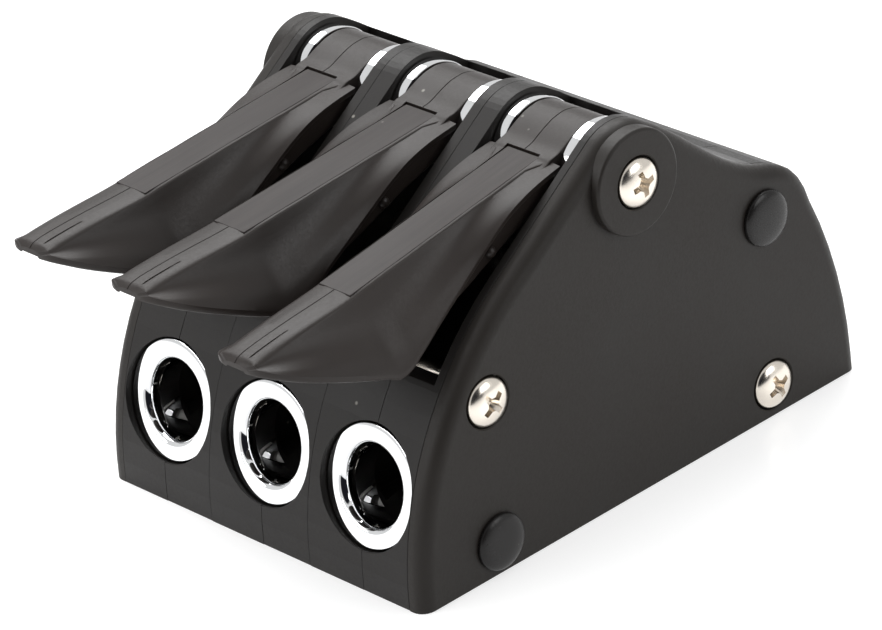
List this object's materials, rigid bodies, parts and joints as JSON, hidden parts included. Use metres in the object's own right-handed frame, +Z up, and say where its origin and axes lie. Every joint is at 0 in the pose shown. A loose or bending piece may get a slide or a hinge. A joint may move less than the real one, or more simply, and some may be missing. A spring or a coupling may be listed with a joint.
{
  "type": "rope clutch",
  "caption": "Bank of side-by-side lever-operated rope clutches with bell-mouthed line entries between bolted side plates.",
  "frame": {"origin": "centre of the base's underside, on the middle rope line", "axes": "+X to the right, across the rope lines; +Y to the rear, along the rope; +Z up; the lever tips and the front line entries face -Y"},
  "size_m": [0.1032, 0.1493, 0.0798],
  "materials": {
    "housing_plastic": "moulded satin",
    "plate_plastic": "fine moulded grain",
    "lever_plastic": "moulded satin",
    "strip_plastic": "brushed satin",
    "chrome": "mirror",
    "stainless": "polished",
    "cam_metal": "cast and blasted",
    "brass": "machined"
  },
  "bodies": {
    "housing": {"side_plate_left": "plate_plastic", "side_plate_right": "plate_plastic", "shell_left_1": "housing_plastic", "shell_left_2": "housing_plastic", "shell_left_3": "housing_plastic", "shell_right_1": "housing_plastic", "shell_right_2": "housing_plastic", "shell_right_3": "housing_plastic", "cam_pin_1": "stainless", "cam_pin_2": "stainless", "cam_pin_3": "stainless", "cam_spring_1": "stainless", "cam_spring_2": "stainless", "cam_spring_3": "stainless", "rope_bed_1": "cam_metal", "rope_bed_2": "cam_metal", "rope_bed_3": "cam_metal", "front_fairlead_1": "chrome", "front_fairlead_2": "chrome", "front_fairlead_3": "chrome", "rear_fairlead_1": "chrome", "rear_fairlead_2": "chrome", "rear_fairlead_3": "chrome", "pivot_axle": "stainless", "tie_rod_front": "stainless", "tie_rod_rear": "stainless", "dowel_front": "stainless", "dowel_rear": "stainless", "screws_left": "stainless", "screws_right": "stainless", "end_caps_left": "plate_plastic", "end_caps_right": "plate_plastic", "mounting_inserts": "brass"},
    "lever_1": {"lever_1": "lever_plastic", "label_strip_1": "strip_plastic", "lever_drum_1": "chrome"},
    "cam_1": {"cam_1": "cam_metal"},
    "lever_2": {"lever_2": "lever_plastic", "label_strip_2": "strip_plastic", "lever_drum_2": "chrome"},
    "cam_2": {"cam_2": "cam_metal"},
    "lever_3": {"lever_3": "lever_plastic", "label_strip_3": "strip_plastic", "lever_drum_3": "chrome"},
    "cam_3": {"cam_3": "cam_metal"}
  },
  "joints": [
    {"name": "lever_1_hinge", "type": "hinge", "parent": "housing", "child": "lever_1", "pos_m": [-0.03, 0.0038, 0.068], "axis": [-1, 0, 0], "range_deg": [-4.4, 105.6]},
    {"name": "cam_1_hinge", "type": "hinge", "parent": "housing", "child": "cam_1", "pos_m": [-0.03, -0.0062, 0.046], "axis": [1, 0, 0], "range_deg": [-1.2, 28.6]},
    {"name": "lever_2_hinge", "type": "hinge", "parent": "housing", "child": "lever_2", "pos_m": [0, 0.0038, 0.068], "axis": [-1, 0, 0], "range_deg": [-4.4, 105.6]},
    {"name": "cam_2_hinge", "type": "hinge", "parent": "housing", "child": "cam_2", "pos_m": [0, -0.0062, 0.046], "axis": [1, 0, 0], "range_deg": [-1.2, 28.6]},
    {"name": "lever_3_hinge", "type": "hinge", "parent": "housing", "child": "lever_3", "pos_m": [0.03, 0.0038, 0.068], "axis": [-1, 0, 0], "range_deg": [0, 110]},
    {"name": "cam_3_hinge", "type": "hinge", "parent": "housing", "child": "cam_3", "pos_m": [0.03, -0.0062, 0.046], "axis": [1, 0, 0], "range_deg": [0, 29.8]}
  ],
  "couplings": [
    {"joint": "cam_1_hinge", "follows": "lever_1_hinge", "ratio": 0.27},
    {"joint": "cam_2_hinge", "follows": "lever_2_hinge", "ratio": 0.27},
    {"joint": "cam_3_hinge", "follows": "lever_3_hinge", "ratio": 0.27}
  ]
}
